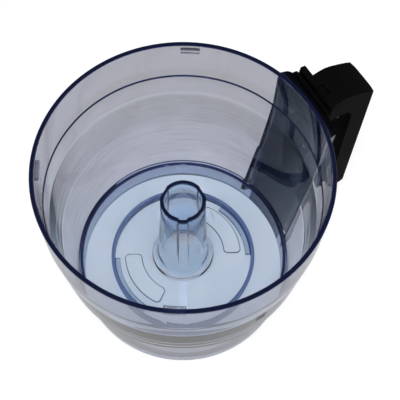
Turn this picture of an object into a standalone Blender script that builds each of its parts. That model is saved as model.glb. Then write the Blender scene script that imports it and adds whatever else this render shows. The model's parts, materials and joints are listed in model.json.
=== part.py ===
"""Work bowl of a food processor, with its handle and the sprung interlock rod inside the handle.

Metres, +Z up. +X runs from the bowl to the handle. The origin is under the middle of the box that holds the
whole part, on the surface that the foot ring stands on.
"""

import math

import bmesh
import bpy
from mathutils import Vector

# Driving dimensions
RIM_RADIUS = 0.088
BOWL_HEIGHT = 0.143
HANDLE_REACH = 0.1275  # bowl axis to the outside of the grip
WALL = 0.0025
GAP = 0.0003  # clearance between pieces that touch
OVERRUN = 0.002  # how far a cutting tool goes past the face it cuts
SEGMENTS = 72  # round the bowl

# The bowl axis stands this far behind the origin, so that the box is centred on the origin
AXIS_X = (RIM_RADIUS - HANDLE_REACH) / 2

# Bowl wall: outside radii, then inside radii where named
FOOT_RADIUS = 0.0723
LOWER_TOP_RADIUS = 0.0806
LOWER_TOP_HEIGHT = 0.0594
COLLAR_RADIUS = 0.0820
COLLAR_HEIGHT = 0.0606
WAIST_RADIUS = 0.0872  # at the height of the seat ring
RIM_EDGE = 0.0005
RIM_INNER = 0.0854
SEAT_HEIGHT = 0.1110
SEAT_INNER = 0.0845
SEAT_STEP = 0.0003
SHOULDER_HEIGHT = 0.0928
SHOULDER_INNER = 0.0831
SHOULDER_STEP = 0.0003

# Floor and centre tube
FLOOR_TOP = 0.0156
FLOOR_UNDER = 0.0130
CORNER_RADIUS = 0.0717
RIB_RADIUS = 0.0490
RIB_HALF_WIDTH = 0.0011
RIB_DRAFT = 0.0002
RIB_FOOT = 0.0064
TUBE_TOP = 0.0983
TUBE_RADIUS = 0.0143
TUBE_BORE = 0.0120
TUBE_FOOT_RADIUS = 0.0169
TUBE_FOOT_HEIGHT = 0.0256
FLARE_RADIUS = 0.0214

# Key groove and key flats of the centre tube, as angles about the bowl axis in degrees
GROOVE_ANGLE = -120.0
GROOVE_HALF_ANGLE = 11.0
GROOVE_DEPTH = 0.0011
FLAT_ANGLES = (0.0, 120.0)
FLAT_HALF_ANGLE = 9.0
FLAT_DEPTH = 0.0007
FLAT_SHARE_INSIDE = 0.4
KEY_RAMP = 4.0  # degrees over which a key fades out

# Bayonet ribs under the rim, for the lid
LUG_ANGLES = (-33.0, 57.0, 150.5, 237.0)
LUG_HALF_ANGLE = 4.1
LUG_INNER_RADIUS = 0.0830
LUG_ROOT_RADIUS = 0.0867
LUG_TOP = 0.1402
LUG_HEIGHT = 0.0030

# Bayonet pockets and ledges under the floor, for the motor base
POCKET_ANGLES = ((-29.0, 36.0), (151.0, 216.0))
POCKET_INNER = 0.0290
POCKET_OUTER = 0.0405
POCKET_DEPTH = 0.0009
POCKET_CORNER = 0.0028
POCKET_STEPS = 10
LEDGE_ANGLES = ((-28.0, 24.0), (152.0, 204.0))
LEDGE_INNER = 0.0444
LEDGE_OUTER = 0.0487
LEDGE_BOTTOM = 0.0068
LEDGE_HEIGHT = 0.0022

# Two short level bars above the collar that show where the bowl lines up with the motor base
BAR_ANGLE = -87.5
BAR_HALF_ANGLE = 2.1
BAR_HEIGHTS = (0.0866, 0.0926)
BAR_WIDTH = 0.0010
BAR_SUNK = 0.0006  # how far a bar's root goes into the wall
BAR_STANDS_OUT = 0.0005

# Column behind the wall that the handle is fixed to. Its outer face leans out with the bowl's taper
COLUMN_FOOT = 0.0789  # bowl axis to the outer face, at the height of the foot
COLUMN_SLOPE = 0.0858
COLUMN_HALF_WIDTH = 0.0264
COLUMN_TOP = 0.1418
COLUMN_BOTTOM = 0.0020
COLUMN_WALL = 0.0023
COLUMN_INWARD = 0.0220  # how far the untrimmed column reaches into the bowl
COLUMN_SPLAY = 0.0040  # extra half width at that depth
COLUMN_CORNER = 0.0045
COLUMN_INNER_CORNER = 0.0024
BOSS_RADIUS = 0.0034
BOSS_INWARD = 0.0140
PILOT_RADIUS = 0.0015
PILOT_DEPTH = 0.0040
TILT = math.atan(COLUMN_SLOPE)

# Handle base, measured outwards from the column's face and up along it
PLATE_INNER = GAP
PLATE_THICKNESS = 0.0020
PLATE_TOP = 0.1434
PLATE_BOTTOM = 0.0040
PLATE_SIDES = (-0.0125, 0.0238)
PLATE_CORNER = 0.0030
TRAY_INNER = PLATE_INNER + PLATE_THICKNESS + GAP
TRAY_SIDES = (-0.0125, 0.0216)
TRAY_TOP = 0.1478
TRAY_BULGE = 0.0540  # height where the flange is thickest
TRAY_BOTTOM = 0.0080
TRAY_TOP_OUTER = 0.0066
TRAY_BULGE_OUTER = 0.0092
TRAY_BOTTOM_OUTER = 0.0046
TRAY_WALL = 0.0018
TRAY_ROOF = 0.0022
TRAY_EDGE = 0.0009
HOLLOW_BOTTOM = 0.0240
SPINE = ((0.0026, 0.0350), (0.0072, 0.0350), (0.0094, 0.0560), (0.0094, 0.1440), (0.0026, 0.1440))
SPINE_HALF_WIDTH = 0.0075

# Screws that hold plate and shell to the column: sideways position and height
SCREW_PLACES = ((0.0155, 0.1240), (-0.0078, 0.1040), (0.0155, 0.0640))
SCREW_RADIUS = 0.0012
SCREW_HEAD_RADIUS = 0.0027
SCREW_HEAD_LOW = 0.0038
SCREW_HEAD_HIGH = 0.0052
SCREW_TIP = -0.0034
SCREW_HOLE = 0.0016
SLOT_DEPTH = 0.0008
SLOT_HALF_LENGTH = 0.0015
SLOT_HALF_WIDTH = 0.0003
HEAD_ROOM_RADIUS = 0.0031
PILLAR_RADIUS = 0.0042
PILLAR_SUNK = 0.0005  # how far a pillar's end stays inside the flange's face
PLUG_RADIUS = 0.0028
PLUG_INNER = 0.0055

# Arm and grip, as distance from the bowl axis and height
GRIP_HALF_WIDTH = 0.0123
GRIP_EDGE = 0.0018
GRIP_INNER = 0.1130  # bowl axis to the finger side of the grip
GRIP_BOTTOM = 0.0260
GRIP_END_RADIUS = 0.0060
GRIP_TOE_RADIUS = 0.0030
FINGER_RADIUS = 0.0080
ARM_ROOT = 0.0950
ARM_UNDERSIDE = 0.1310
ARM_CREST = (
    (0.0945, 0.1470),
    (0.0975, 0.1481),
    (0.1010, 0.1490),
    (0.1050, 0.1494),
    (0.1095, 0.1484),
    (0.1143, 0.1466),
    (0.1185, 0.1449),
    (0.1225, 0.1430),
)
KNUCKLE_CENTRE = (0.1250, 0.1387)
KNUCKLE_RADIUS = 0.0025
KNUCKLE_START = 60.0
GRIP_CROWN = 0.0017  # how far the middle of the grip's outer face stands out past its sides
GRIP_CROWN_STEPS = 8
SHELL_WALL = 0.0021
CAVITY_ROOT = 0.1020
CAVITY_TOP = (
    (0.1020, 0.1468),
    (0.1050, 0.1472),
    (0.1092, 0.1462),
    (0.1135, 0.1446),
    (0.1180, 0.1426),
    (0.1222, 0.1405),
    (0.1250, 0.1384),
)
CAVITY_FLOOR = 0.0297
COVER_THICKNESS = 0.0026
COVER_BOTTOM = 0.0300
COVER_ARM_END = 0.1023
COVER_SCREW_HEIGHTS = (0.0520, 0.1080)
COVER_HEAD_ROOM = 0.0016
COVER_PILLAR_RADIUS = 0.0036
COVER_SCREW_LENGTH = 0.0075

# Interlock rod
ROD_DEPTH = 0.0050  # column face to the rod's axis
ROD_RADIUS = 0.00125
ROD_BOTTOM = 0.0330
ROD_TOP = 0.1360
ROD_SOCKET = 0.0040
CHANNEL_OUTER = 0.0076
CHANNEL_HALF_WIDTH = 0.0027
NOTCH_TOP = 0.0395  # the open notch at the flange's foot, where the rod's foot comes out
NOTCH_HALF_WIDTH = 0.0030
ROD_SLOT = (0.0030, 0.0070)
ROD_SLOT_LENGTH = 0.0095
PRESS_ROOM_LOW = 0.1240  # the room that the button's shoulder moves in
PRESS_ROOM_OUTER = 0.0063
PRESS_ROOM_HALF_WIDTH = 0.0056
BUTTON_HALF_WIDTH = 0.0035
BUTTON_SLOT_HALF_WIDTH = 0.0039
BUTTON_STEM = (-0.0017, 0.0016)
BUTTON_STEM_ROOT = 0.0030  # how far the stem goes into the shoulder
BUTTON_SHOULDER = (-0.0018, 0.0009)
BUTTON_SHOULDER_HALF_WIDTH = 0.0050
BUTTON_PROUD = 0.0008
FOOT_HALF_DEPTH = 0.0017
FOOT_HALF_WIDTH = 0.0023
FOOT_BOTTOM = 0.0265
STEM_CORNER = 0.0008
GUIDE_UPPER = 0.1160
GUIDE_LOWER = 0.0560
GUIDE_HEIGHT = 0.0060
GUIDE_HALF_WIDTH = 0.0067
GUIDE_DEPTH = (-0.0020, 0.0002)
NOSE_HALF_WIDTH = 0.0024
NOSE_DEPTH = (-0.0020, 0.0022)
GUIDE_WALL = (0.0070, 0.0086)
GUIDE_WALL_EXTRA = 0.0010  # how far the wall goes past each end of the guide
SPRING_BOTTOM = GUIDE_LOWER + GUIDE_HEIGHT + GAP
SPRING_TOP = 0.0900
SPRING_RADIUS = 0.0019
SPRING_WIRE = 0.0003
SPRING_TURNS = 8
SPRING_STEPS = 12  # points in a turn of the spring
SPRING_SIDES = 6
RING_OUTER = 0.0022
WASHER_THICKNESS = 0.0006
CLIP_BOTTOM = 0.0913
CLIP_THICKNESS = 0.0007
CLIP_INNER = 0.0011
CLIP_MOUTH = 0.0008
GROOVE_CORE = 0.0008
GROOVE_TOP = CLIP_BOTTOM + CLIP_THICKNESS + GAP


def clear_scene():
    for item in list(bpy.data.objects):
        bpy.data.objects.remove(item, do_unlink=True)


def material(name, colour, roughness, metallic=0.0, transmission=0.0):
    made = bpy.data.materials.new(name)
    made.use_nodes = True
    shader = made.node_tree.nodes["Principled BSDF"]
    shader.inputs["Base Color"].default_value = (*colour, 1.0)
    shader.inputs["Roughness"].default_value = roughness
    shader.inputs["Metallic"].default_value = metallic
    shader.inputs["Transmission Weight"].default_value = transmission
    made.diffuse_color = (*colour, 1.0)
    return made


def new_object(name, bm, parent=None):
    """An object holding the bmesh, with its faces turned outwards."""
    bmesh.ops.recalc_face_normals(bm, faces=bm.faces)
    mesh = bpy.data.meshes.new(name)
    bm.to_mesh(mesh)
    bm.free()
    made = bpy.data.objects.new(name, mesh)
    bpy.context.scene.collection.objects.link(made)
    made.parent = parent
    return made


def empty(name, location, tilt=0.0, parent=None):
    made = bpy.data.objects.new(name, None)
    made.location = location
    made.rotation_euler = (0.0, tilt, 0.0)
    made.parent = parent
    bpy.context.scene.collection.objects.link(made)
    return made


def prism(name, outline, low, high, along, parent=None):
    """A closed outline, extruded from low to high along one axis. Its two numbers are the other two axes."""
    order = {"X": (2, 0, 1), "Y": (0, 2, 1), "Z": (0, 1, 2)}[along]
    bm = bmesh.new()
    ends = []
    for level in (low, high):
        corners = [[a, b, level] for a, b in outline]
        ends.append([bm.verts.new([corner[i] for i in order]) for corner in corners])
    count = len(outline)
    for i in range(count):
        j = (i + 1) % count
        bm.faces.new((ends[0][i], ends[0][j], ends[1][j], ends[1][i]))
    for end in ends:
        bm.faces.new(end)
    return new_object(name, bm, parent)


def box(name, x, y, z, parent=None):
    outline = ((x[0], y[0]), (x[1], y[0]), (x[1], y[1]), (x[0], y[1]))
    return prism(name, outline, z[0], z[1], "Z", parent)


def arc(centre, radius, start, end, steps):
    """Points on an arc, with angles in degrees."""
    angles = [math.radians(start + (end - start) * i / steps) for i in range(steps + 1)]
    return [(centre[0] + radius * math.cos(a), centre[1] + radius * math.sin(a)) for a in angles]


def rounded_outline(a, b, radius, steps=4, corners=(True, True, True, True)):
    """A rectangle from a to b with rounded corners, in the order low-low, high-low, high-high, low-high."""
    centres = (
        (a[0] + radius, b[0] + radius),
        (a[1] - radius, b[0] + radius),
        (a[1] - radius, b[1] - radius),
        (a[0] + radius, b[1] - radius),
    )
    sharp = ((a[0], b[0]), (a[1], b[0]), (a[1], b[1]), (a[0], b[1]))
    points = []
    for i, start in enumerate((180, 270, 360, 450)):
        if corners[i]:
            points += arc(centres[i], radius, start, start + 90, steps)
        else:
            points.append(sharp[i])
    return points


def cylinder(name, radius, low, high, along, at=(0.0, 0.0), sides=12, parent=None):
    turn = 360.0 / sides
    outline = arc(at, radius, 0.0, 360.0 - turn, sides - 1)
    return prism(name, outline, low, high, along, parent)


def sector(name, inner, outer, start, end, low, high, steps=8):
    """A piece of a flat ring about the bowl axis."""
    outline = arc((0.0, 0.0), inner, start, end, steps) + arc((0.0, 0.0), outer, end, start, steps)
    made = prism(name, outline, low, high, "Z")
    made.location.x = AXIS_X
    return made


def rounded_sector(name, inner, outer, start, end, low, high, steps, corner):
    """A piece of a flat ring about the bowl axis, with rounded corners."""
    eased = 1.0 - math.sqrt(0.5)
    points = []
    for radius, first, last, into in ((inner, start, end, corner), (outer, end, start, -corner)):
        turn = math.copysign(math.degrees(corner / radius), last - first)
        points += [(radius + into, first), (radius + eased * into, first + eased * turn)]
        span = last - first - 2.0 * turn
        points += [(radius, first + turn + span * i / steps) for i in range(steps + 1)]
        points += [(radius + eased * into, last - eased * turn), (radius + into, last)]
    outline = [(r * math.cos(math.radians(a)), r * math.sin(math.radians(a))) for r, a in points]
    made = prism(name, outline, low, high, "Z")
    made.location.x = AXIS_X
    return made


def turned(name, profile, change):
    """A closed profile turned about the bowl axis. change gives what to add to each radius."""
    bm = bmesh.new()
    rings = []
    for radius, height in profile:
        ring = []
        for i in range(SEGMENTS):
            angle = 2.0 * math.pi * i / SEGMENTS
            r = radius + change(radius, height, math.degrees(angle))
            ring.append(bm.verts.new((r * math.cos(angle), r * math.sin(angle), height)))
        rings.append(ring)
    for k, ring in enumerate(rings):
        after = rings[(k + 1) % len(rings)]
        for i in range(SEGMENTS):
            j = (i + 1) % SEGMENTS
            bm.faces.new((ring[i], ring[j], after[j], after[i]))
    made = new_object(name, bm)
    made.location.x = AXIS_X
    return made


def solid_of_revolution(name, profile):
    """A profile that starts and ends on the axis, turned about the bowl axis into a closed solid."""
    bm = bmesh.new()
    bottom = bm.verts.new((0.0, 0.0, profile[0][1]))
    top = bm.verts.new((0.0, 0.0, profile[-1][1]))
    rings = []
    for radius, height in profile[1:-1]:
        points = arc((0.0, 0.0), radius, 0.0, 360.0 - 360.0 / SEGMENTS, SEGMENTS - 1)
        rings.append([bm.verts.new((x, y, height)) for x, y in points])
    for i in range(SEGMENTS):
        j = (i + 1) % SEGMENTS
        bm.faces.new((bottom, rings[0][j], rings[0][i]))
        bm.faces.new((top, rings[-1][i], rings[-1][j]))
        for lower, upper in zip(rings, rings[1:]):
            bm.faces.new((lower[i], lower[j], upper[j], upper[i]))
    made = new_object(name, bm)
    made.location.x = AXIS_X
    return made


def combine(target, tool, operation):
    """Applies an exact Boolean between two objects and removes the tool."""
    bpy.context.view_layer.update()
    modifier = target.modifiers.new(operation.lower(), "BOOLEAN")
    modifier.operation = operation
    modifier.solver = "EXACT"
    modifier.object = tool
    apply_modifiers(target)
    bpy.data.objects.remove(tool, do_unlink=True)


def apply_modifiers(target):
    bpy.context.view_layer.update()
    evaluated = target.evaluated_get(bpy.context.evaluated_depsgraph_get())
    mesh = bpy.data.meshes.new_from_object(evaluated)
    target.modifiers.clear()
    target.data = mesh
    mesh.name = target.name


def add(target, tool):
    combine(target, tool, "UNION")


def cut(target, tool):
    combine(target, tool, "DIFFERENCE")


def bevel(target, width, segments, angle):
    modifier = target.modifiers.new("edges", "BEVEL")
    modifier.width = width
    modifier.segments = segments
    modifier.limit_method = "ANGLE"
    modifier.angle_limit = math.radians(angle)
    apply_modifiers(target)


def finish(target, surface):
    """Merges doubled points, gives the material and shades round faces smooth."""
    doubled = 0.000002
    bm = bmesh.new()
    bm.from_mesh(target.data)
    bmesh.ops.remove_doubles(bm, verts=bm.verts, dist=doubled)
    bmesh.ops.dissolve_degenerate(bm, edges=bm.edges, dist=doubled)
    bm.to_mesh(target.data)
    bm.free()
    target.data.materials.clear()
    target.data.materials.append(surface)
    target.data.shade_smooth()
    target.data.set_sharp_from_angle(angle=math.radians(35.0))


def tray_outer(height):
    """Distance from the column's face to the outside of the flange."""
    if height > TRAY_BULGE:
        share = (height - TRAY_BULGE) / (TRAY_TOP - TRAY_BULGE)
        return TRAY_BULGE_OUTER + share * (TRAY_TOP_OUTER - TRAY_BULGE_OUTER)
    share = (TRAY_BULGE - height) / (TRAY_BULGE - TRAY_BOTTOM)
    return TRAY_BULGE_OUTER + share * (TRAY_BOTTOM_OUTER - TRAY_BULGE_OUTER)


# Bowl


def lower_wall(height):
    """Outer radius of the tapered lower wall."""
    rise = (LOWER_TOP_RADIUS - FOOT_RADIUS) / LOWER_TOP_HEIGHT
    return FOOT_RADIUS + rise * height


def upper_wall(height):
    """Outer radius of the wall between collar and seat ring."""
    rise = (WAIST_RADIUS - COLLAR_RADIUS) / (SEAT_HEIGHT - COLLAR_HEIGHT)
    return COLLAR_RADIUS + rise * (height - COLLAR_HEIGHT)


def key_weight(angle, centre, half_angle):
    away = abs((angle - centre + 180.0) % 360.0 - 180.0)
    return min(1.0, max(0.0, (half_angle + KEY_RAMP - away) / KEY_RAMP))


def tube_keys(radius, height, angle):
    """The key groove and the two key flats, which fade out down the centre tube."""
    on_tube = TUBE_BORE - RIM_EDGE <= radius <= TUBE_FOOT_RADIUS + WALL and height >= FLOOR_TOP
    if not on_tube:
        return 0.0
    fade = min(1.0, (height - FLOOR_TOP) / (TUBE_TOP - FLOOR_TOP))
    groove = GROOVE_DEPTH * key_weight(angle, GROOVE_ANGLE, GROOVE_HALF_ANGLE)
    flats = FLAT_DEPTH * sum(key_weight(angle, centre, FLAT_HALF_ANGLE) for centre in FLAT_ANGLES)
    outside = radius > (TUBE_BORE + TUBE_RADIUS) / 2
    return fade * (groove - flats * (1.0 if outside else FLAT_SHARE_INSIDE))


def outside_profile():
    return [
        (FOOT_RADIUS, 0.0),
        (LOWER_TOP_RADIUS, LOWER_TOP_HEIGHT),
        (COLLAR_RADIUS, COLLAR_HEIGHT),
        (WAIST_RADIUS, SEAT_HEIGHT),
        (RIM_RADIUS, BOWL_HEIGHT - RIM_EDGE),
        (RIM_RADIUS - RIM_EDGE, BOWL_HEIGHT),
    ]


def inside_profile():
    """From the rim down to the floor, over the seat for the lid and the shoulder below it."""
    return [
        (RIM_INNER + RIM_EDGE, BOWL_HEIGHT),
        (RIM_INNER, BOWL_HEIGHT - RIM_EDGE),
        (SEAT_INNER + SEAT_STEP, SEAT_HEIGHT + SEAT_STEP),
        (SEAT_INNER - SEAT_STEP, SEAT_HEIGHT - 0.0003),
        (SHOULDER_INNER, SHOULDER_HEIGHT),
        (SHOULDER_INNER - SHOULDER_STEP, SHOULDER_HEIGHT - 0.0014),
        (CORNER_RADIUS + 0.0006, FLOOR_TOP + 0.0022),
        (CORNER_RADIUS - 0.0002, FLOOR_TOP + 0.0006),
        (CORNER_RADIUS - 0.0018, FLOOR_TOP),
    ]


def tube_profile():
    """The centre tube: up its stepped foot and outside, over its end and down the bore."""
    return [
        (FLARE_RADIUS + 0.0006, FLOOR_TOP),
        (FLARE_RADIUS, FLOOR_TOP + 0.0006),
        (FLARE_RADIUS - 0.0005, FLOOR_TOP + 0.0026),
        (FLARE_RADIUS - 0.0012, FLOOR_TOP + 0.0036),
        (FLARE_RADIUS - 0.0024, FLOOR_TOP + 0.0043),
        (TUBE_FOOT_RADIUS + 0.0010, FLOOR_TOP + 0.0058),
        (TUBE_FOOT_RADIUS, TUBE_FOOT_HEIGHT),
        (TUBE_RADIUS + 0.0004, TUBE_TOP - 0.0180),
        (TUBE_RADIUS, TUBE_TOP - RIM_EDGE),
        (TUBE_RADIUS - RIM_EDGE, TUBE_TOP),
        (TUBE_BORE + RIM_EDGE, TUBE_TOP),
        (TUBE_BORE, TUBE_TOP - RIM_EDGE),
        (TUBE_FOOT_RADIUS - WALL, TUBE_FOOT_HEIGHT),
        (TUBE_FOOT_RADIUS - WALL + 0.0010, FLOOR_TOP + 0.0034),
        (FLARE_RADIUS - WALL, FLOOR_TOP + 0.0008),
        (FLARE_RADIUS - WALL + 0.0004, FLOOR_UNDER),
    ]


def under_profile():
    """Below the floor: the ring rib for the bayonet, then the inside of the foot ring."""
    return [
        (RIB_RADIUS - RIB_HALF_WIDTH, FLOOR_UNDER),
        (RIB_RADIUS - RIB_HALF_WIDTH + RIB_DRAFT, RIB_FOOT),
        (RIB_RADIUS + RIB_HALF_WIDTH - RIB_DRAFT, RIB_FOOT),
        (RIB_RADIUS + RIB_HALF_WIDTH, FLOOR_UNDER),
        (lower_wall(FLOOR_UNDER) - WALL, FLOOR_UNDER),
        (FOOT_RADIUS - WALL, 0.0),
    ]


def wall_middle():
    """A solid whose skin runs inside the bowl's wall, used to trim what is joined to the wall."""
    half = WALL / 2
    above = BOWL_HEIGHT + OVERRUN
    profile = [
        (0.0, -OVERRUN),
        (FOOT_RADIUS - half, -OVERRUN),
        (LOWER_TOP_RADIUS - half, LOWER_TOP_HEIGHT),
        (WAIST_RADIUS - half, SEAT_HEIGHT),
        (RIM_RADIUS - half, BOWL_HEIGHT),
        (RIM_RADIUS - half, above),
        (0.0, above),
    ]
    return solid_of_revolution("wall_middle", profile)


def column_section(face, half_width, corner, steps):
    """Section of the column: two round corners at its face, and sides that spread towards the bowl."""
    points = [(-COLUMN_INWARD, -half_width - COLUMN_SPLAY)]
    points += arc((face - corner, corner - half_width), corner, -90.0, 0.0, steps)
    points += arc((face - corner, half_width - corner), corner, 0.0, 90.0, steps)
    return points + [(-COLUMN_INWARD, half_width + COLUMN_SPLAY)]


def handle_column(frame):
    """The hollow clear column, with its closed top, its open foot and a boss for each screw."""
    outer = column_section(0.0, COLUMN_HALF_WIDTH, COLUMN_CORNER, 4)
    column = prism("column", outer, COLUMN_BOTTOM, COLUMN_TOP, "Z", frame)
    inner = column_section(-COLUMN_WALL, COLUMN_HALF_WIDTH - COLUMN_WALL, COLUMN_INNER_CORNER, 3)
    low = COLUMN_BOTTOM - OVERRUN
    cut(column, prism("column_hollow", inner, low, COLUMN_TOP - COLUMN_WALL, "Z", frame))
    for place in SCREW_PLACES:
        boss = cylinder("boss", BOSS_RADIUS, -BOSS_INWARD, -COLUMN_WALL / 2, "X", place, 12, frame)
        add(column, boss)
    cut(column, wall_middle())
    return column


def make_bowl(frame, surface):
    profile = outside_profile() + inside_profile() + tube_profile() + under_profile()
    bowl = turned("bowl_body", profile, tube_keys)
    add(bowl, handle_column(frame))
    for place in SCREW_PLACES:
        cut(bowl, cylinder("pilot", PILOT_RADIUS, -PILOT_DEPTH, OVERRUN, "X", place, 10, frame))
    add_lugs(bowl)
    add_bayonet(bowl)
    add_bars(bowl)
    finish(bowl, surface)


def add_bars(bowl):
    low = BAR_ANGLE - BAR_HALF_ANGLE
    high = BAR_ANGLE + BAR_HALF_ANGLE
    for height in BAR_HEIGHTS:
        inner = upper_wall(height) - BAR_SUNK
        outer = upper_wall(height + BAR_WIDTH) + BAR_STANDS_OUT
        add(bowl, sector("bar", inner, outer, low, high, height, height + BAR_WIDTH, 2))


def add_lugs(bowl):
    low = LUG_TOP - LUG_HEIGHT
    for angle in LUG_ANGLES:
        start, end = angle - LUG_HALF_ANGLE, angle + LUG_HALF_ANGLE
        add(bowl, sector("lug", LUG_INNER_RADIUS, LUG_ROOT_RADIUS, start, end, low, LUG_TOP, 3))


def add_bayonet(bowl):
    """The ledges on the ring rib that the motor base turns under, and the shallow pockets in the floor."""
    for start, end in LEDGE_ANGLES:
        high = LEDGE_BOTTOM + LEDGE_HEIGHT
        add(bowl, sector("ledge", LEDGE_INNER, LEDGE_OUTER, start, end, LEDGE_BOTTOM, high))
    for start, end in POCKET_ANGLES:
        low = FLOOR_UNDER - OVERRUN
        high = FLOOR_UNDER + POCKET_DEPTH
        place = (POCKET_INNER, POCKET_OUTER, start, end, low, high)
        cut(bowl, rounded_sector("pocket", *place, POCKET_STEPS, POCKET_CORNER))


# Handle


def finger_side(offset, root):
    """The finger side of grip and arm, from the free end up to root, moved into the grip by offset."""
    centre = (GRIP_INNER - FINGER_RADIUS, ARM_UNDERSIDE - FINGER_RADIUS)
    points = [(GRIP_INNER + offset, COVER_BOTTOM)]
    points += arc(centre, FINGER_RADIUS + offset, 0.0, 90.0, 5)
    points.append((root, ARM_UNDERSIDE + offset))
    return points


def grip_outline():
    """Side outline of arm and grip: over the crest, round the knuckle, down the outside and back up."""
    end_centre = (HANDLE_REACH - GRIP_END_RADIUS, GRIP_BOTTOM + GRIP_END_RADIUS)
    toe_centre = (GRIP_INNER + GRIP_TOE_RADIUS, GRIP_BOTTOM + GRIP_TOE_RADIUS)
    outline = list(ARM_CREST)
    outline += arc(KNUCKLE_CENTRE, KNUCKLE_RADIUS, KNUCKLE_START, 0.0, 6)
    outline += arc(end_centre, GRIP_END_RADIUS, 0.0, -90.0, 4)
    outline += arc(toe_centre, GRIP_TOE_RADIUS, -90.0, -180.0, 3)
    return outline + finger_side(0.0, ARM_ROOT)


def cavity_outline():
    """The hollow of arm and grip, open on the finger side."""
    outline = [(CAVITY_ROOT, ARM_UNDERSIDE - FINGER_RADIUS - 2 * OVERRUN)]
    outline += CAVITY_TOP
    outline += [(HANDLE_REACH, 0.1370), (HANDLE_REACH, 0.0330), (0.1235, CAVITY_FLOOR)]
    outline.append((CAVITY_ROOT, CAVITY_FLOOR))
    return outline


def from_axis(outline):
    """Moves an outline measured from the bowl axis into world X."""
    return [(x + AXIS_X, z) for x, z in outline]


def crowned_block(inset):
    """A block round arm and grip whose outer face bulges across the width, inset from the grip's outside."""
    half = GRIP_HALF_WIDTH + OVERRUN
    outline = []
    for i in range(GRIP_CROWN_STEPS + 1):
        y = half * (2.0 * i / GRIP_CROWN_STEPS - 1.0)
        outline.append((HANDLE_REACH - inset - GRIP_CROWN * (y / GRIP_HALF_WIDTH) ** 2, y))
    outline += [(ARM_ROOT - 2 * OVERRUN, half), (ARM_ROOT - 2 * OVERRUN, -half)]
    return prism("crown", from_axis(outline), GRIP_BOTTOM - OVERRUN, TRAY_TOP + 2 * OVERRUN, "Z")


def make_grip():
    grip = prism("grip", from_axis(grip_outline()), -GRIP_HALF_WIDTH, GRIP_HALF_WIDTH, "Y")
    combine(grip, crowned_block(0.0), "INTERSECT")
    bevel(grip, GRIP_EDGE, 3, 60.0)
    half = GRIP_HALF_WIDTH - SHELL_WALL
    cavity = prism("cavity", from_axis(cavity_outline()), -half, half, "Y")
    combine(cavity, crowned_block(SHELL_WALL), "INTERSECT")
    cut(grip, cavity)
    inner = GRIP_INNER + COVER_THICKNESS + GAP + AXIS_X
    outer = HANDLE_REACH - SHELL_WALL / 2 + AXIS_X
    for height in COVER_SCREW_HEIGHTS:
        place = (0.0, height)
        add(grip, cylinder("pillar", COVER_PILLAR_RADIUS, inner, outer, "X", place))
        cut(grip, cylinder("pilot", PILOT_RADIUS, inner - OVERRUN, outer - SHELL_WALL / 2, "X", place, 10))
    return grip


def make_shell(frame, surface):
    """Flange, arm and grip in one moulding."""
    side = [(TRAY_INNER, TRAY_BOTTOM), (TRAY_BOTTOM_OUTER, TRAY_BOTTOM), (TRAY_BULGE_OUTER, TRAY_BULGE)]
    side += [(TRAY_TOP_OUTER, TRAY_TOP), (TRAY_INNER, TRAY_TOP)]
    shell = prism("handle_outer_shell", side, *TRAY_SIDES, "Y", frame)
    bevel(shell, TRAY_EDGE, 2, 60.0)
    add(shell, prism("spine", SPINE, -SPINE_HALF_WIDTH, SPINE_HALF_WIDTH, "Y", frame))
    add(shell, make_grip())
    hollow_flange(shell, frame)
    add_pillars(shell, frame)
    add_guide_walls(shell, frame)
    finish(shell, surface)


def hollow_flange(shell, frame):
    """Cuts the flange's inside, the rod's channel, the button's slot and the notch for the rod's foot."""
    high = TRAY_TOP - TRAY_ROOF
    open_side = TRAY_INNER - OVERRUN
    inside = [(open_side, HOLLOW_BOTTOM)]
    inside += [(tray_outer(z) - TRAY_WALL, z) for z in (HOLLOW_BOTTOM, TRAY_BULGE, high)]
    inside.append((open_side, high))
    cut(shell, prism("hollow", inside, TRAY_SIDES[0] + TRAY_WALL, TRAY_SIDES[1] - TRAY_WALL, "Y", frame))
    channel = (-CHANNEL_HALF_WIDTH, CHANNEL_HALF_WIDTH)
    cut(shell, box("channel", (open_side, CHANNEL_OUTER), channel, (NOTCH_TOP - OVERRUN, high), frame))
    room = (-PRESS_ROOM_HALF_WIDTH, PRESS_ROOM_HALF_WIDTH)
    cut(shell, box("press_room", (open_side, PRESS_ROOM_OUTER), room, (PRESS_ROOM_LOW, high), frame))
    slot = (-BUTTON_SLOT_HALF_WIDTH, BUTTON_SLOT_HALF_WIDTH)
    tall = (high - ROD_SLOT_LENGTH, TRAY_TOP + ROD_SLOT_LENGTH)
    cut(shell, box("top_slot", ROD_SLOT, slot, tall, frame))
    notch = (-NOTCH_HALF_WIDTH, NOTCH_HALF_WIDTH)
    past = TRAY_BULGE_OUTER + OVERRUN
    cut(shell, box("notch", (open_side, past), notch, (TRAY_BOTTOM - OVERRUN, NOTCH_TOP), frame))


def add_pillars(shell, frame):
    """A pillar for each screw, with a hole for the shank and room for the head and the plug."""
    for place in SCREW_PLACES:
        outer = tray_outer(place[1])
        past = outer + OVERRUN
        add(shell, cylinder("pillar", PILLAR_RADIUS, TRAY_INNER, outer - PILLAR_SUNK, "X", place, 14, frame))
        cut(shell, cylinder("hole", SCREW_HOLE, 0.0, past, "X", place, 12, frame))
        seat = SCREW_HEAD_LOW - GAP
        cut(shell, cylinder("head_room", HEAD_ROOM_RADIUS, seat, past, "X", place, 14, frame))


def add_guide_walls(shell, frame):
    """Two short walls beside each rod guide."""
    for height in (GUIDE_UPPER, GUIDE_LOWER):
        deep = (TRAY_INNER, tray_outer(height + GUIDE_HEIGHT) - TRAY_WALL / 2)
        tall = (height - GUIDE_WALL_EXTRA, height + GUIDE_HEIGHT + GUIDE_WALL_EXTRA)
        add(shell, box("guide_wall", deep, GUIDE_WALL, tall, frame))
        add(shell, box("guide_wall", deep, (-GUIDE_WALL[1], -GUIDE_WALL[0]), tall, frame))


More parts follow.
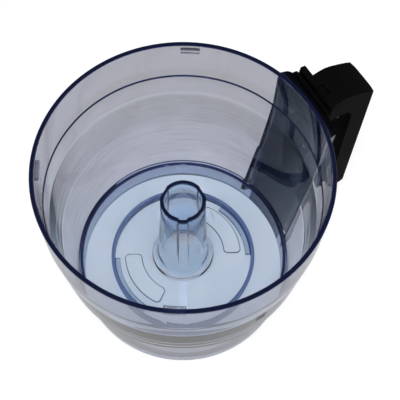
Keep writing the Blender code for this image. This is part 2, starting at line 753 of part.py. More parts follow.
def make_plate(frame, surface):
    """The cover between column and flange, with a hole for each screw."""
    outline = rounded_outline(PLATE_SIDES, (PLATE_BOTTOM, PLATE_TOP), PLATE_CORNER)
    plate = prism("handle_inner_plate", outline, PLATE_INNER, PLATE_INNER + PLATE_THICKNESS, "X", frame)
    for place in SCREW_PLACES:
        cut(plate, cylinder("hole", SCREW_HOLE, -OVERRUN, TRAY_INNER + OVERRUN, "X", place, 12, frame))
    finish(plate, surface)


def make_grip_cover(surface):
    """The finger side of arm and grip, let into the shell and held by two screws."""
    outline = finger_side(0.0, COVER_ARM_END) + finger_side(COVER_THICKNESS, COVER_ARM_END)[::-1]
    half = GRIP_HALF_WIDTH - SHELL_WALL - GAP
    cover = prism("grip_inner_cover", from_axis(outline), -half, half, "Y")
    inner = GRIP_INNER + AXIS_X
    outer = inner + COVER_THICKNESS + OVERRUN
    for height in COVER_SCREW_HEIGHTS:
        place = (0.0, height)
        cut(cover, cylinder("hole", SCREW_HOLE, inner - OVERRUN, outer, "X", place))
        seat = inner + COVER_HEAD_ROOM
        cut(cover, cylinder("head_room", HEAD_ROOM_RADIUS, inner - OVERRUN, seat, "X", place, 14))
    finish(cover, surface)


def screw(name, head_low, head_high, tip, at, parent=None):
    """A pan-head screw along X with a cross slot. tip is the free end of the shank."""
    head = sorted((head_low, head_high))
    made = cylinder(name, SCREW_HEAD_RADIUS, head[0], head[1], "X", at, 14, parent)
    shank = sorted((tip, head_low))
    add(made, cylinder("shank", SCREW_RADIUS, shank[0], shank[1], "X", at, 10, parent))
    deep = (head_high - SLOT_DEPTH, head_high + SLOT_DEPTH)
    for y, z in ((SLOT_HALF_LENGTH, SLOT_HALF_WIDTH), (SLOT_HALF_WIDTH, SLOT_HALF_LENGTH)):
        cut(made, box("slot", deep, (at[0] - y, at[0] + y), (at[1] - z, at[1] + z), parent))
    return made


def make_handle_screws(frame, steel, black):
    """The screws that hold the handle, each under its own plug."""
    for number, place in enumerate(SCREW_PLACES, 1):
        name = f"handle_screw_{number}"
        finish(screw(name, SCREW_HEAD_LOW, SCREW_HEAD_HIGH, SCREW_TIP, place, frame), steel)
        name = f"screw_plug_{number}"
        outer = tray_outer(place[1])
        finish(cylinder(name, PLUG_RADIUS, PLUG_INNER, outer, "X", place, 14, frame), black)


def make_cover_screws(surface):
    inner = GRIP_INNER + AXIS_X
    seat = inner + COVER_HEAD_ROOM - GAP
    for number, height in enumerate(COVER_SCREW_HEIGHTS, 1):
        name = f"grip_cover_screw_{number}"
        finish(screw(name, seat, inner, inner + COVER_SCREW_LENGTH, (0.0, height)), surface)


# Interlock, in the frame of the rod: Z is the rod's axis, X points away from the bowl


def rod_cylinder(name, radius, low, high, axis, sides=12):
    return cylinder(name, radius, low, high, "Z", (0.0, 0.0), sides, axis)


def make_rod(axis, surface):
    rod = rod_cylinder("interlock_push_rod", ROD_RADIUS, ROD_BOTTOM, ROD_TOP, axis)
    groove = rod_cylinder("groove", RING_OUTER, CLIP_BOTTOM - GAP, GROOVE_TOP, axis)
    cut(groove, rod_cylinder("core", GROOVE_CORE, ROD_BOTTOM, ROD_TOP, axis))
    cut(rod, groove)
    finish(rod, surface)


def make_button(axis, surface):
    """The tappet that the lid presses: a stem in the slot on a wider shoulder, which stops it from below."""
    shoulder_top = TRAY_TOP - TRAY_ROOF - GAP
    half = BUTTON_SHOULDER_HALF_WIDTH
    tall = (ROD_TOP - ROD_SOCKET, shoulder_top)
    button = box("push_rod_button", BUTTON_SHOULDER, (-half, half), tall, axis)
    stem = rounded_outline(BUTTON_STEM, (-BUTTON_HALF_WIDTH, BUTTON_HALF_WIDTH), STEM_CORNER, 3)
    add(button, prism("stem", stem, shoulder_top - BUTTON_STEM_ROOT, TRAY_TOP + BUTTON_PROUD, "Z", axis))
    low = ROD_TOP - ROD_SOCKET - OVERRUN
    cut(button, rod_cylinder("socket", ROD_RADIUS + GAP, low, ROD_TOP + GAP, axis))
    bevel(button, 0.0003, 1, 40.0)
    finish(button, surface)


def make_foot(axis, surface):
    """The tip that comes out under the flange and presses the switch in the motor base."""
    depth = (-FOOT_HALF_DEPTH, FOOT_HALF_DEPTH)
    outline = rounded_outline(depth, (-FOOT_HALF_WIDTH, FOOT_HALF_WIDTH), STEM_CORNER, 3)
    high = ROD_BOTTOM + ROD_SOCKET
    foot = prism("push_rod_foot", outline, FOOT_BOTTOM, high, "Z", axis)
    cut(foot, rod_cylinder("socket", ROD_RADIUS + GAP, ROD_BOTTOM - GAP, high + OVERRUN, axis))
    finish(foot, surface)


def make_guide(name, height, axis, surface):
    """A slide-in block with the rod's bore."""
    tall = (height, height + GUIDE_HEIGHT)
    guide = box(name, GUIDE_DEPTH, (-GUIDE_HALF_WIDTH, GUIDE_HALF_WIDTH), tall, axis)
    add(guide, box("nose", NOSE_DEPTH, (-NOSE_HALF_WIDTH, NOSE_HALF_WIDTH), tall, axis))
    cut(guide, rod_cylinder("bore", ROD_RADIUS + GAP, tall[0] - OVERRUN, tall[1] + OVERRUN, axis, 14))
    finish(guide, surface)


def ring(name, inner, low, thickness, axis):
    """A flat ring on the rod."""
    made = rod_cylinder(name, RING_OUTER, low, low + thickness, axis, 16)
    cut(made, rod_cylinder("hole", inner, low - OVERRUN, low + thickness + OVERRUN, axis, 14))
    return made


def make_washer_and_clip(axis, surface):
    """The washer on top of the spring, and the clip in the rod's groove that it pushes against."""
    washer = ring("spring_washer", ROD_RADIUS + GAP, SPRING_TOP + GAP, WASHER_THICKNESS, axis)
    finish(washer, surface)
    clip = ring("rod_retaining_clip", CLIP_INNER, CLIP_BOTTOM, CLIP_THICKNESS, axis)
    high = CLIP_BOTTOM + CLIP_THICKNESS + OVERRUN
    mouth = ((0.0, RING_OUTER + OVERRUN), (-CLIP_MOUTH, CLIP_MOUTH), (CLIP_BOTTOM - OVERRUN, high))
    cut(clip, box("mouth", *mouth, axis))
    finish(clip, surface)


def spring_height(i, total):
    """Height of the wire's middle at one step: the first and last turns lie nearly flat."""
    low = SPRING_BOTTOM + SPRING_WIRE
    high = SPRING_TOP - SPRING_WIRE
    share = min(1.0, max(0.0, (i - SPRING_STEPS) / (total - 2 * SPRING_STEPS)))
    flat_turns = min(i, SPRING_STEPS) + max(0, i - total + SPRING_STEPS)
    closing = 2 * SPRING_WIRE
    return low + closing * flat_turns / SPRING_STEPS + (high - low - 2 * closing) * share


def make_spring(axis, surface):
    """A compression spring: the wire's round section follows a helix with closed ends."""
    total = SPRING_TURNS * SPRING_STEPS
    bm = bmesh.new()
    rings = []
    for i in range(total + 1):
        angle = 2.0 * math.pi * i / SPRING_STEPS
        outward = Vector((math.cos(angle), math.sin(angle), 0.0))
        centre = outward * SPRING_RADIUS + Vector((0.0, 0.0, spring_height(i, total)))
        section = arc((0.0, 0.0), SPRING_WIRE, 0.0, 360.0 - 360.0 / SPRING_SIDES, SPRING_SIDES - 1)
        rings.append([bm.verts.new(centre + outward * a + Vector((0.0, 0.0, b))) for a, b in section])
    for before, after in zip(rings, rings[1:]):
        for k in range(SPRING_SIDES):
            j = (k + 1) % SPRING_SIDES
            bm.faces.new((before[k], before[j], after[j], after[k]))
    bm.faces.new(rings[0])
    bm.faces.new(rings[-1])
    finish(new_object("return_spring", bm, axis), surface)


def main():
    clear_scene()
    clear_plastic = material("clear_plastic", (0.62, 0.70, 0.84), 0.04, transmission=0.95)
    black_plastic = material("black_plastic", (0.012, 0.012, 0.013), 0.32)
    white_plastic = material("white_plastic", (0.80, 0.80, 0.78), 0.40)
    steel = material("steel", (0.60, 0.60, 0.61), 0.28, metallic=1.0)
    handle_frame = empty("handle_frame", (AXIS_X + COLUMN_FOOT, 0.0, 0.0), TILT)
    rod_axis = empty("rod_axis", (ROD_DEPTH, 0.0, 0.0), parent=handle_frame)
    bpy.context.view_layer.update()

    make_bowl(handle_frame, clear_plastic)
    make_shell(handle_frame, black_plastic)
    make_plate(handle_frame, black_plastic)
    make_grip_cover(black_plastic)
    make_handle_screws(handle_frame, steel, black_plastic)
    make_cover_screws(steel)
    make_rod(rod_axis, white_plastic)
    make_button(rod_axis, black_plastic)
    make_foot(rod_axis, black_plastic)
    make_guide("rod_guide_upper", GUIDE_UPPER, rod_axis, white_plastic)
    make_guide("rod_guide_lower", GUIDE_LOWER, rod_axis, white_plastic)
    make_washer_and_clip(rod_axis, steel)
    make_spring(rod_axis, steel)


main()
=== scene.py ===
import json
import math

import bmesh
import bpy
import numpy as np
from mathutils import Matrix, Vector


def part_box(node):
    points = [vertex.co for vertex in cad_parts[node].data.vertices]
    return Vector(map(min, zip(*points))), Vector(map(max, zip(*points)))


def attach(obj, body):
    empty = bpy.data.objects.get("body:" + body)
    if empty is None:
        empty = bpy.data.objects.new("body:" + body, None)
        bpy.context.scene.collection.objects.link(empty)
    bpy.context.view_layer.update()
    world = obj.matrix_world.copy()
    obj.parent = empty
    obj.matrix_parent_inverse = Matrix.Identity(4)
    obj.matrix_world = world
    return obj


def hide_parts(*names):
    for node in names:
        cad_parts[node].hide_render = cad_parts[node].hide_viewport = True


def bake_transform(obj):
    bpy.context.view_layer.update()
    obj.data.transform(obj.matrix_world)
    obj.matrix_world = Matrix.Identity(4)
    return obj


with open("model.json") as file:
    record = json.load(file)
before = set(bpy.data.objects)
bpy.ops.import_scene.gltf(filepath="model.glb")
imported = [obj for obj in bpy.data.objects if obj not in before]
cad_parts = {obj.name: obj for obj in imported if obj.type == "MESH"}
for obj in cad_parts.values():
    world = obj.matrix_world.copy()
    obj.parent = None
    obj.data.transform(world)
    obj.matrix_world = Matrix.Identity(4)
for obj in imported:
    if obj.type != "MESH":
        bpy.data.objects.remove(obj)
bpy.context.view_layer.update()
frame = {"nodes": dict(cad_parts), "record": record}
nodes = frame["nodes"]


# Sizes and places, in metres

# The bowl, from its box
bowl_low, bowl_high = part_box("bowl_body")
RIM_RADIUS = (bowl_high[1] - bowl_low[1]) / 2
RIM_HEIGHT = bowl_high[2]
AXIS_X = bowl_low[0] + RIM_RADIUS

# The wall's outside: radius at the foot, widening per metre of height, and the widest that it gets
FOOT_RADIUS = 0.0737
WIDENING = 0.1392
WIDEST = 0.0882

# Places on the bowl that the plastic's tint follows, as (low, high) heights or (inner, outer) radii
FLOOR_TOP = 0.0172
FLOOR_CORNER = (0.0154, 0.0168)
FLOOR_CORNER_RADIUS = 0.0696
FOOT_RING_RADIUS = 0.0708
TUBE_RADIUS = 0.0200
TUBE_END = 0.0955
SEAT_HEIGHTS = (0.1103, 0.1114)
SEAT_RADII = (0.0830, 0.0853)
LUG_BOTTOM = 0.1365
LUG_RADII = (0.0832, 0.0851)
RIB_RADII = (0.0477, 0.0503)
RIB_TOP = 0.0136
LEDGE_HEIGHTS = (0.0067, 0.0091)
LEDGE_EDGE = (0.0440, 0.0446)
SHOULDER_LINE = (0.0914, 0.0930)

# The bands of painted warm shade on the wall: heights where each starts, is full, starts to fade and is
# gone; and the streaks' two ends
LOWER_SHADE_BAND = (0.0600, 0.0740, 0.0895, 0.0915)
UPPER_SHADE_BAND = (0.1010, 0.1080, 0.1160, 0.1200)
STREAKS_START = (0.0172, 0.0240)
STREAKS_FADE = (0.0850, 0.1090)

# The hollow column: its angles about the bowl's axis, and the wall between it and the bowl's inside
COLUMN_ANGLES = (-0.27, 0.27)
COLUMN_TOP = 0.1418
COLUMN_WALL = 0.0034
INNER_FACE = 0.0846
LOWER_WALL_TOP = 0.1110

# The pockets under the floor: middle and half of the angle, radii, corners, top, and the line round them
POCKET_ANGLES = (math.radians(3.5), math.radians(32.5))
POCKET_RADII = (0.0290, 0.0405)
POCKET_CORNER = 0.0028
POCKET_TOP = 0.0146
POCKET_LINE = 0.00044


# Pieces that stand in for CAD nodes

MOST_SIDEWAYS = 0.06  # how far a turned face's normal may point round the axis
NEAR_CHORD = 0.99  # the middle of a chord this near its ends' radius is moved out to their circle


def welded_triangles(mesh):
    """Points and triangles of a mesh, with doubled points made one."""
    bm = bmesh.new()
    bm.from_mesh(mesh)
    bmesh.ops.remove_doubles(bm, verts=bm.verts, dist=0.000001)
    bmesh.ops.triangulate(bm, faces=bm.faces)
    points = np.array([vert.co for vert in bm.verts])
    faces = np.array([[vert.index for vert in face.verts] for face in bm.faces])
    bm.free()
    return points, faces


def turned_faces(points, faces):
    """Which triangles lie on a surface turned about the bowl's axis."""
    corners = points[faces] - (AXIS_X, 0.0, 0.0)
    normal = np.cross(corners[:, 1] - corners[:, 0], corners[:, 2] - corners[:, 0])
    normal /= np.maximum(np.linalg.norm(normal, axis=1, keepdims=True), 1e-12)
    middle = corners.mean(axis=1)
    radius = np.hypot(middle[:, 0], middle[:, 1])
    sideways = np.abs(normal[:, 1] * middle[:, 0] - normal[:, 0] * middle[:, 1]) / radius
    wall = np.minimum(FOOT_RADIUS + WIDENING * middle[:, 2], WIDEST)
    return (sideways < MOST_SIDEWAYS) & (radius < wall)


def halved(points, faces):
    """Each triangle cut in four, with the new points of turned faces on their circle."""
    turned = turned_faces(points, faces)
    ends = np.sort(faces[:, [[0, 1], [1, 2], [2, 0]]].reshape(-1, 2), axis=1)
    edges, which = np.unique(ends, axis=0, return_inverse=True)
    which = which.reshape(-1, 3)
    straight = np.zeros(len(edges), bool)
    straight[which[~turned].reshape(-1)] = True
    first = points[edges[:, 0]]
    second = points[edges[:, 1]]
    middle = (first + second) / 2
    flat = middle[:, :2] - (AXIS_X, 0.0)
    length = np.hypot(flat[:, 0], flat[:, 1])
    radii = [np.hypot(end[:, 0] - AXIS_X, end[:, 1]) for end in (first, second)]
    wanted = (radii[0] + radii[1]) / 2
    near = length > NEAR_CHORD * wanted
    grow = np.where(near & ~straight, wanted / np.maximum(length, 1e-9), 1.0)
    middle[:, :2] = flat * grow[:, None] + (AXIS_X, 0.0)
    a, b, c = faces.T
    ab, bc, ca = (which + len(points)).T
    parts = [(a, ab, ca), (ab, b, bc), (ca, bc, c), (ab, bc, ca)]
    return np.vstack([points, middle]), np.concatenate([np.stack(part, axis=1) for part in parts])


def mesh_piece(name, points, faces, sharp_angle):
    """A smooth-shaded object, with creases at edges sharper than sharp_angle."""
    mesh = bpy.data.meshes.new(name)
    mesh.from_pydata(points.tolist(), [], faces.tolist())
    mesh.shade_smooth()
    mesh.set_sharp_from_angle(angle=math.radians(sharp_angle))
    made = bpy.data.objects.new(name, mesh)
    bpy.context.scene.collection.objects.link(made)
    return made


def fine_bowl(source):
    """The bowl with four times as many steps round it."""
    points, faces = welded_triangles(source.data)
    for _ in range(2):
        points, faces = halved(points, faces)
    made = mesh_piece("clear_bowl", points, faces, sharp_angle=10.0)
    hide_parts("bowl_body")
    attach(made, "bowl")
    return made


def seated_spring(source):
    """The return spring, smooth-shaded, with its lower end on its seat."""
    points, faces = welded_triangles(source.data)
    made = mesh_piece("seated_spring", points, faces, sharp_angle=35.0)
    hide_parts("return_spring")
    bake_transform(made)
    return made


# Node helpers


def new_material(name):
    """The material, its node tree and its Principled shader."""
    made = bpy.data.materials.new(name)
    made.use_nodes = True
    return made, made.node_tree, made.node_tree.nodes["Principled BSDF"]


def feed(tree, socket, value):
    """Links an output to a socket, or sets the socket to a number."""
    if isinstance(value, (int, float)):
        socket.default_value = value
    else:
        tree.links.new(value, socket)


def calc(tree, operation, a, b=0.0):
    """The result of a Math node."""
    node = tree.nodes.new("ShaderNodeMath")
    node.operation = operation
    feed(tree, node.inputs[0], a)
    feed(tree, node.inputs[1], b)
    return node.outputs[0]


def both(tree, first, second):
    """The product: where both masks hold, or a mask weakened by a number."""
    return calc(tree, "MULTIPLY", first, second)


def either(tree, *masks):
    """The strongest of several masks."""
    total = masks[0]
    for mask in masks[1:]:
        total = calc(tree, "MAXIMUM", total, mask)
    return total


def hypotenuse(tree, a, b):
    squares = calc(tree, "ADD", calc(tree, "MULTIPLY", a, a), calc(tree, "MULTIPLY", b, b))
    return calc(tree, "SQRT", squares)


def smooth_step(tree, value, start, end):
    """0 before start and 1 past end, with a soft change between. With end below start it falls instead."""
    node = tree.nodes.new("ShaderNodeMapRange")
    node.interpolation_type = "SMOOTHSTEP"
    feed(tree, node.inputs["Value"], value)
    node.inputs["From Min"].default_value = start
    node.inputs["From Max"].default_value = end
    return node.outputs[0]


def band(tree, value, limits, soft):
    """1 between the two limits, and 0 outside."""
    low, high = limits
    rise = smooth_step(tree, value, low - soft, low)
    fall = smooth_step(tree, value, high, high + soft)
    return calc(tree, "SUBTRACT", rise, fall)


def mix_colour(tree, share, first, second):
    """From the first colour, at share 0, to the second, at share 1."""
    node = tree.nodes.new("ShaderNodeMix")
    node.data_type = "RGBA"
    feed(tree, node.inputs[0], share)
    for socket, colour in ((node.inputs[6], first), (node.inputs[7], second)):
        if isinstance(colour, tuple):
            socket.default_value = (*colour, 1.0)
        else:
            tree.links.new(colour, socket)
    return node.outputs[2]


def noise(tree, place, scale, detail=3.0, roughness=0.5):
    """Noise from 0 to 1, with scale in cells per metre."""
    node = tree.nodes.new("ShaderNodeTexNoise")
    node.inputs["Scale"].default_value = scale
    node.inputs["Detail"].default_value = detail
    node.inputs["Roughness"].default_value = roughness
    tree.links.new(place, node.inputs["Vector"])
    return node.outputs["Fac"]


def spread(tree, value, low, high):
    """Maps 0..1 to low..high."""
    node = tree.nodes.new("ShaderNodeMapRange")
    tree.links.new(value, node.inputs["Value"])
    node.inputs["To Min"].default_value = low
    node.inputs["To Max"].default_value = high
    return node.outputs[0]


def bump(tree, height, distance, strength=1.0):
    """A normal that makes the height, from 0 to 1, stand that distance out of the surface."""
    node = tree.nodes.new("ShaderNodeBump")
    node.inputs["Distance"].default_value = distance
    node.inputs["Strength"].default_value = strength
    tree.links.new(height, node.inputs["Height"])
    return node.outputs["Normal"]


def object_position(tree):
    return tree.nodes.new("ShaderNodeTexCoord").outputs["Object"]


def bowl_places(tree):
    """Object position, and the radius, angle and height about the bowl's axis."""
    position = object_position(tree)
    split = tree.nodes.new("ShaderNodeSeparateXYZ")
    tree.links.new(position, split.inputs[0])
    x = calc(tree, "SUBTRACT", split.outputs["X"], AXIS_X)
    y = split.outputs["Y"]
    return position, hypotenuse(tree, x, y), calc(tree, "ARCTAN2", y, x), split.outputs["Z"]


def vector(tree, x, y, z):
    node = tree.nodes.new("ShaderNodeCombineXYZ")
    for socket, value in zip(node.inputs, (x, y, z)):
        feed(tree, socket, value)
    return node.outputs[0]


def mixed_shaders(tree, ray, otherwise, when):
    """One shader for rays of that Light Path kind, and another for the rest."""
    path = tree.nodes.new("ShaderNodeLightPath")
    mix = tree.nodes.new("ShaderNodeMixShader")
    tree.links.new(path.outputs[ray], mix.inputs[0])
    tree.links.new(otherwise.outputs[0], mix.inputs[1])
    tree.links.new(when.outputs[0], mix.inputs[2])
    tree.links.new(mix.outputs[0], tree.nodes["Material Output"].inputs["Surface"])


# Materials

WALL_TINT = (0.74, 0.73, 0.78)
FLOOR_TINT = (0.68, 0.75, 0.82)
FOOT_TINT = (0.62, 0.64, 0.76)
TUBE_TINT = (0.60, 0.76, 0.90)
COLUMN_SHADE_TINT = (0.024, 0.030, 0.056)
RIB_SHADE_TINT = (0.06, 0.10, 0.25)
GROOVE_SHADE_TINT = (0.04, 0.05, 0.07)
EDGE_SHADE_TINT = (0.010, 0.016, 0.070)
EDGE_SHADE_SOLID = 0.50  # how much of an edge's colour is scattered, not passed through
WARM_SHADE_TINT = (0.66, 0.64, 0.64)
DUSTY_TINT = (0.48, 0.46, 0.46)
CLEAN_AND_HIGHLIGHT_TINT = (0.92, 0.92, 0.94)
REFLECTION_TINT = (0.50, 0.56, 0.76)
SHADOW_TINT = (0.86, 0.89, 0.94)
DEPTH_COLOUR = (0.0, 0.12, 0.38)
DEPTH_DENSITY = 40.0


def wall_radius(tree, height):
    """Radius of the wall's outside at that height."""
    return calc(tree, "ADD", both(tree, height, WIDENING), FOOT_RADIUS)


def edge_shade_mask(tree, radius, height):
    """Painted navy shade where the plastic is seen edge on: rim, seat, floor's corner, tube's end and lugs.
    """
    rim = smooth_step(tree, height, RIM_HEIGHT - 0.0015, RIM_HEIGHT - 0.0010)
    seat = both(tree, band(tree, height, SEAT_HEIGHTS, 0.0002), band(tree, radius, SEAT_RADII, 0.0002))
    at_corner = smooth_step(tree, radius, FLOOR_CORNER_RADIUS, FLOOR_CORNER_RADIUS + 0.0006)
    corner = both(tree, band(tree, height, FLOOR_CORNER, 0.0004), at_corner)
    on_tube = smooth_step(tree, radius, TUBE_RADIUS, TUBE_RADIUS - 0.0010)
    tube_end = both(tree, smooth_step(tree, height, TUBE_END, TUBE_END + 0.0017), on_tube)
    above = smooth_step(tree, height, LUG_BOTTOM, LUG_BOTTOM + 0.0003)
    lugs = both(tree, above, band(tree, radius, LUG_RADII, 0.0001))
    return either(tree, rim, seat, corner, tube_end, both(tree, lugs, 0.60))


def column_shade_mask(tree, radius, angle, height):
    """Painted shade: the hollow column behind the handle, with the stretch of wall inside it, darkened to
    near black.
    """
    wall = calc(tree, "MINIMUM", wall_radius(tree, height), WIDEST)
    past_wall = calc(tree, "SUBTRACT", radius, wall)
    outside = smooth_step(tree, past_wall, 0.0, 0.0004)
    facing = band(tree, angle, COLUMN_ANGLES, 0.006)
    behind = smooth_step(tree, past_wall, -COLUMN_WALL, 0.0004 - COLUMN_WALL)
    below_rim = smooth_step(tree, height, COLUMN_TOP, COLUMN_TOP - 0.0006)
    inner_face = smooth_step(tree, radius, INNER_FACE, INNER_FACE + 0.0002)
    lower = smooth_step(tree, height, LOWER_WALL_TOP, LOWER_WALL_TOP - 0.0004)
    through_wall = both(tree, behind, either(tree, inner_face, lower))
    return either(tree, outside, both(tree, both(tree, facing, below_rim), through_wall))


def pocket_shade_mask(tree, radius, angle, height):
    """The outlines of the two pockets, painted as thin lines of shade: where the distance from a rounded
    rectangle's edge is near 0.
    """
    centre, half_angle = POCKET_ANGLES
    middle = sum(POCKET_RADII) / 2
    turned_by = calc(tree, "ADD", angle, math.pi / 2 - centre)
    away = calc(tree, "SUBTRACT", calc(tree, "FLOORED_MODULO", turned_by, math.pi), math.pi / 2)
    along = both(tree, calc(tree, "ABSOLUTE", away), middle)
    along = calc(tree, "SUBTRACT", along, half_angle * middle - POCKET_CORNER)
    across = calc(tree, "ABSOLUTE", calc(tree, "SUBTRACT", radius, middle))
    across = calc(tree, "SUBTRACT", across, POCKET_RADII[1] - middle - POCKET_CORNER)
    past = [calc(tree, "MAXIMUM", value, 0.0) for value in (along, across)]
    inner = calc(tree, "MINIMUM", calc(tree, "MAXIMUM", along, across), 0.0)
    distance = calc(tree, "SUBTRACT", calc(tree, "ADD", hypotenuse(tree, *past), inner), POCKET_CORNER)
    line = smooth_step(tree, calc(tree, "ABSOLUTE", distance), POCKET_LINE, POCKET_LINE / 2)
    return both(tree, line, smooth_step(tree, height, POCKET_TOP, POCKET_TOP - 0.0002))


def groove_shade_mask(tree, radius, angle, height):
    """Fine lines of painted shade under the floor: round the pockets, and along the bayonet ledges' inner
    edges.
    """
    ledge = both(tree, band(tree, height, LEDGE_HEIGHTS, 0.0001), band(tree, radius, LEDGE_EDGE, 0.0001))
    return either(tree, pocket_shade_mask(tree, radius, angle, height), both(tree, ledge, 0.6))


def plain_tint(tree, radius, height):
    """The plastic's own tint: greyer in the walls, bluer in the floor, the tube and the foot ring."""
    on_floor = smooth_step(tree, height, FLOOR_TOP + 0.0013, FLOOR_TOP)
    near_tube = smooth_step(tree, radius, TUBE_RADIUS, TUBE_RADIUS - 0.0008)
    on_tube = both(tree, near_tube, smooth_step(tree, height, FLOOR_TOP - 0.0002, FLOOR_TOP + 0.0013))
    near_foot = smooth_step(tree, radius, FOOT_RING_RADIUS, FOOT_RING_RADIUS + 0.0004)
    tint = mix_colour(tree, on_floor, WALL_TINT, FLOOR_TINT)
    tint = mix_colour(tree, on_tube, tint, TUBE_TINT)
    return mix_colour(tree, both(tree, near_foot, on_floor), tint, FOOT_TINT)


def soft_band(tree, value, heights):
    """0 up to the first of four heights, 1 from the second to the third, and 0 again past the last."""
    start, full, fading, gone = heights
    return both(tree, smooth_step(tree, value, start, full), smooth_step(tree, value, gone, fading))


def worn_and_painted_light_tint(tree, tint, position, radius, angle, height):
    """Use, moulding and painted light: two warm bands of painted shade, dusty streaks round the wall, a
    painted highlight along the shoulder line and clean patches.
    """
    wobble = both(tree, calc(tree, "SUBTRACT", noise(tree, position, 35.0, 2.0), 0.5), 0.006)
    level = calc(tree, "ADD", height, wobble)
    # painted shade: two warm darker bands round the wall, one below the shoulder line and one round the
    # seat
    upper = both(tree, soft_band(tree, level, UPPER_SHADE_BAND), 0.7)
    warm = either(tree, soft_band(tree, level, LOWER_SHADE_BAND), upper)
    tint = mix_colour(tree, both(tree, warm, 0.70), tint, WARM_SHADE_TINT)
    round_wall = vector(tree, both(tree, angle, 0.006), radius, height)
    streaks = smooth_step(tree, noise(tree, round_wall, 520.0, 5.0, 0.65), 0.45, 0.75)
    streaky = soft_band(tree, height, STREAKS_START + STREAKS_FADE)
    tint = mix_colour(tree, both(tree, both(tree, streaks, streaky), 0.55), tint, DUSTY_TINT)
    # painted highlight: a lighter ring along the shoulder line
    line = band(tree, height, SHOULDER_LINE, 0.0004)
    tint = mix_colour(tree, both(tree, line, 0.8), tint, CLEAN_AND_HIGHLIGHT_TINT)
    clean = smooth_step(tree, noise(tree, position, 28.0, 2.0), 0.45, 0.75)
    return mix_colour(tree, both(tree, clean, 0.25), tint, CLEAN_AND_HIGHLIGHT_TINT)


def clear_plastic():
    """Tinted clear styrene, with painted navy shade where it is seen edge on, that lets light through to
    the floor.
    """
    made, tree, shader = new_material("clear_plastic_look")
    position, radius, angle, height = bowl_places(tree)
    tint = worn_and_painted_light_tint(tree, plain_tint(tree, radius, height), position, radius, angle, height)
    # painted shade: the rib ring under the floor darkened to a deep blue
    below_top = smooth_step(tree, height, RIB_TOP, RIB_TOP - 0.0006)
    rib = both(tree, band(tree, radius, RIB_RADII, 0.0002), below_top)
    tint = mix_colour(tree, rib, tint, RIB_SHADE_TINT)
    # painted shade: fine dark lines round the pockets and along the ledges
    tint = mix_colour(tree, groove_shade_mask(tree, radius, angle, height), tint, GROOVE_SHADE_TINT)
    # painted shade: the clear column behind the handle and the wall inside it, near black
    tint = mix_colour(tree, column_shade_mask(tree, radius, angle, height), tint, COLUMN_SHADE_TINT)
    # painted shade: navy where the plastic is seen edge on, partly scattered instead of passed through
    edges = edge_shade_mask(tree, radius, height)
    tree.links.new(mix_colour(tree, edges, tint, EDGE_SHADE_TINT), shader.inputs["Base Color"])
    clear = calc(tree, "SUBTRACT", 1.0, both(tree, edges, EDGE_SHADE_SOLID))
    tree.links.new(clear, shader.inputs["Transmission Weight"])
    shader.inputs["IOR"].default_value = 1.38
    shader.inputs["Specular Tint"].default_value = (*REFLECTION_TINT, 1)
    shader.inputs["Roughness"].default_value = 0.0
    shade = tree.nodes.new("ShaderNodeBsdfTransparent")
    shade.inputs["Color"].default_value = (*SHADOW_TINT, 1)
    mixed_shaders(tree, "Is Shadow Ray", otherwise=shader, when=shade)
    volume = tree.nodes.new("ShaderNodeVolumeAbsorption")
    volume.inputs["Color"].default_value = (*DEPTH_COLOUR, 1)
    volume.inputs["Density"].default_value = DEPTH_DENSITY
    tree.links.new(volume.outputs[0], tree.nodes["Material Output"].inputs["Volume"])
    return made


def black_plastic():
    """Black polypropylene with a fine moulded grain and slightly polished patches."""
    made, tree, shader = new_material("black_plastic_look")
    position = object_position(tree)
    grain = noise(tree, position, 2600.0, 2.0)
    patches = noise(tree, position, 45.0, 4.0)
    colour = mix_colour(tree, patches, (0.0030, 0.0030, 0.0032), (0.0055, 0.0055, 0.0060))
    tree.links.new(colour, shader.inputs["Base Color"])
    tree.links.new(spread(tree, patches, 0.34, 0.46), shader.inputs["Roughness"])
    shader.inputs["IOR"].default_value = 1.05
    tree.links.new(bump(tree, grain, 0.00004, 0.6), shader.inputs["Normal"])
    return made


def white_plastic():
    """Natural acetal: off-white, satin, with faint flow marks."""
    made, tree, shader = new_material("white_plastic_look")
    position = object_position(tree)
    flow = noise(tree, position, 160.0, 4.0)
    colour = mix_colour(tree, flow, (0.78, 0.77, 0.72), (0.86, 0.86, 0.83))
    tree.links.new(colour, shader.inputs["Base Color"])
    tree.links.new(spread(tree, flow, 0.32, 0.46), shader.inputs["Roughness"])
    tree.links.new(bump(tree, noise(tree, position, 1800.0), 0.00002), shader.inputs["Normal"])
    return made


def steel():
    """Zinc-plated steel with fine drawing marks and a slight bloom."""
    made, tree, shader = new_material("steel_look")
    position = object_position(tree)
    bloom = noise(tree, position, 600.0, 4.0)
    marks = noise(tree, position, 4200.0, 2.0)
    colour = mix_colour(tree, bloom, (0.50, 0.50, 0.52), (0.72, 0.72, 0.71))
    tree.links.new(colour, shader.inputs["Base Color"])
    tree.links.new(spread(tree, bloom, 0.20, 0.38), shader.inputs["Roughness"])
    shader.inputs["Metallic"].default_value = 1.0
    tree.links.new(bump(tree, marks, 0.00002, 0.5), shader.inputs["Normal"])
    return made


# The floor's base colour and its own glow, seen straight and seen through the plastic
SEEN_LEVEL = 0.36
SEEN_GLOW = 0.80
THROUGH_LEVEL = 0.56
THROUGH_GLOW = 0.26


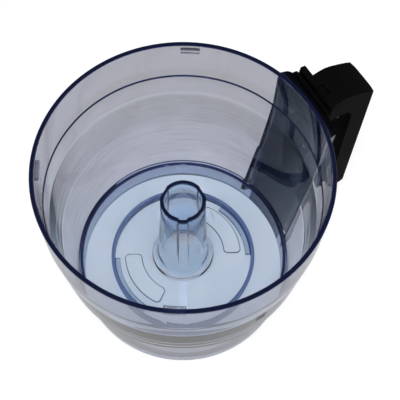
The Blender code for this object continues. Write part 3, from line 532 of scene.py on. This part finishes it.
def pale_floor():
    """White where it is seen straight, and a plain light grey through the plastic and in reflections."""
    made, tree, seen = new_material("floor_look")
    tone = noise(tree, object_position(tree), 3.0, 2.0)
    through = tree.nodes.new("ShaderNodeBsdfPrincipled")
    for shader, level, glow in ((seen, SEEN_LEVEL, SEEN_GLOW), (through, THROUGH_LEVEL, THROUGH_GLOW)):
        darker, lighter = ((level + step,) * 3 for step in (-0.01, 0.01))
        tree.links.new(mix_colour(tree, tone, darker, lighter), shader.inputs["Base Color"])
        shader.inputs["Roughness"].default_value = 0.9
        shader.inputs["IOR"].default_value = 1.1
        shader.inputs["Emission Color"].default_value = (1, 1, 1, 1)
        shader.inputs["Emission Strength"].default_value = glow
    mixed_shaders(tree, "Is Camera Ray", otherwise=through, when=seen)
    return made


looks = {
    "clear_plastic": clear_plastic(),
    "black_plastic": black_plastic(),
    "white_plastic": white_plastic(),
    "steel": steel(),
}
slots = {item["node"]: item["material_slot"] for item in frame["record"]["subparts"]}
fine_bowl(nodes["bowl_body"]).data.materials.append(looks["clear_plastic"])
seated_spring(nodes["return_spring"]).data.materials.append(looks["steel"])
for name, obj in nodes.items():
    obj.data.materials.clear()
    obj.data.materials.append(looks[slots[name]])
    obj.data.shade_smooth()
    obj.data.set_sharp_from_angle(angle=math.radians(35.0))


# Floor, light and camera

FLOOR_GAP = 0.0004  # keeps the floor's surface clear of the foot ring's
AIM = Vector((AXIS_X, 0, 0.06))
CAMERA_PLACE = Vector((AXIS_X - 0.11615, -0.2012, 0.5676))


def studio_floor():
    bpy.ops.mesh.primitive_plane_add(size=6.0, location=(0, 0, -FLOOR_GAP))
    floor = bpy.context.object
    floor.name = "floor"
    floor.data.materials.append(pale_floor())


def studio_world():
    """Pale at the horizon and dim overhead, as in a room with a white cove."""
    world = bpy.data.worlds.new("studio")
    bpy.context.scene.world = world
    world.use_nodes = True
    tree = world.node_tree
    background = tree.nodes["Background"]
    split = tree.nodes.new("ShaderNodeSeparateXYZ")
    tree.links.new(tree.nodes.new("ShaderNodeTexCoord").outputs["Generated"], split.inputs[0])
    up = smooth_step(tree, split.outputs["Z"], 0.30, 0.60)
    colour = mix_colour(tree, up, (0.75, 0.75, 0.76), (0.16, 0.16, 0.17))
    tree.links.new(colour, background.inputs["Color"])
    background.inputs["Strength"].default_value = 1.0


def key_light():
    """A round soft light a little above the camera."""
    data = bpy.data.lights.new("key", "AREA")
    data.shape = "DISK"
    data.size = 0.25
    data.energy = 3.4
    light = bpy.data.objects.new("key", data)
    light.location = CAMERA_PLACE + Vector((0.0, 0.0, 0.25))
    light.rotation_euler = (AIM - light.location).to_track_quat("-Z", "Y").to_euler()
    bpy.context.scene.collection.objects.link(light)


def place_camera():
    data = bpy.data.cameras.new("camera")
    data.lens = 76.2
    data.sensor_width = 36.0
    data.shift_x = 0.0426
    data.shift_y = -0.086
    camera = bpy.data.objects.new("camera", data)
    camera.location = CAMERA_PLACE
    look = Vector((AXIS_X, 0, RIM_HEIGHT)) - CAMERA_PLACE
    camera.rotation_euler = look.to_track_quat("-Z", "Y").to_euler()
    bpy.context.scene.collection.objects.link(camera)
    bpy.context.scene.camera = camera


studio_floor()
studio_world()
key_light()
place_camera()
bpy.context.scene.view_settings.view_transform = "Standard"
bpy.context.scene.cycles.max_bounces = 24
bpy.context.scene.cycles.transmission_bounces = 24
